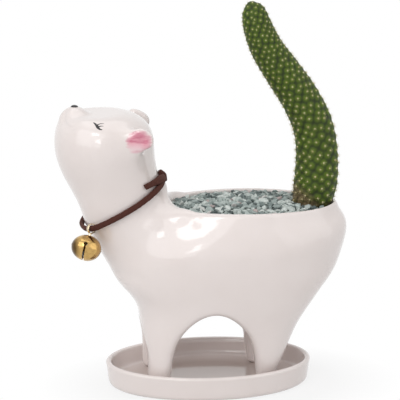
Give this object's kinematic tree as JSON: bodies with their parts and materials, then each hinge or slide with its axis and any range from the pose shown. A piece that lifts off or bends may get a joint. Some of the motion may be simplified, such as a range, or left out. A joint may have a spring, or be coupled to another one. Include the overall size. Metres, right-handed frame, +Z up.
{
  "type": "animal shaped planter",
  "caption": "Glazed standing cat planter with an open basin in its back, on an oval saucer, planted with a column cactus as its tail and wearing a laced collar with a jingle bell.",
  "frame": {"origin": "middle of the saucer's flat underside, which rests on the table", "axes": "+X from the cat's face towards its tail, +Y towards its far (right) side in the picture, +Z up"},
  "size_m": [0.1459, 0.07, 0.1946],
  "materials": {
    "white_glaze": "gloss",
    "saucer_glaze": "gloss",
    "soil": "matte",
    "slate_chips": "matte",
    "cactus_green": "satin",
    "brown_suede": "matte",
    "gold_metal": "polished",
    "gold_wire": "polished",
    "steel_ball": "satin"
  },
  "bodies": {
    "saucer": {"saucer": "saucer_glaze"},
    "planter": {"planter_body": "white_glaze", "potting_soil": "soil", "gravel": "slate_chips", "cactus_stem": "cactus_green", "collar_lace": "brown_suede"},
    "bell": {"bell_shell": "gold_metal", "bell_eye": "gold_wire"},
    "pellet": {"bell_pellet": "steel_ball"}
  },
  "joints": [
    {"name": "planter_lift", "type": "slide", "parent": "saucer", "child": "planter", "axis": [0, 0, 1], "range_m": [0, 0.05]},
    {"name": "bell_swing", "type": "hinge", "parent": "planter", "child": "bell", "pos_m": [-0.05945, -0.01645, 0.08568], "axis": [-0.5625, 0.8225, -0.084], "range_deg": [0, 70]},
    {"name": "pellet_roll", "type": "hinge", "parent": "bell", "child": "pellet", "pos_m": [-0.06227, -0.01928, 0.07688], "axis": [0.5645, -0.8254, 0], "range_deg": [-35, 35]}
  ]
}
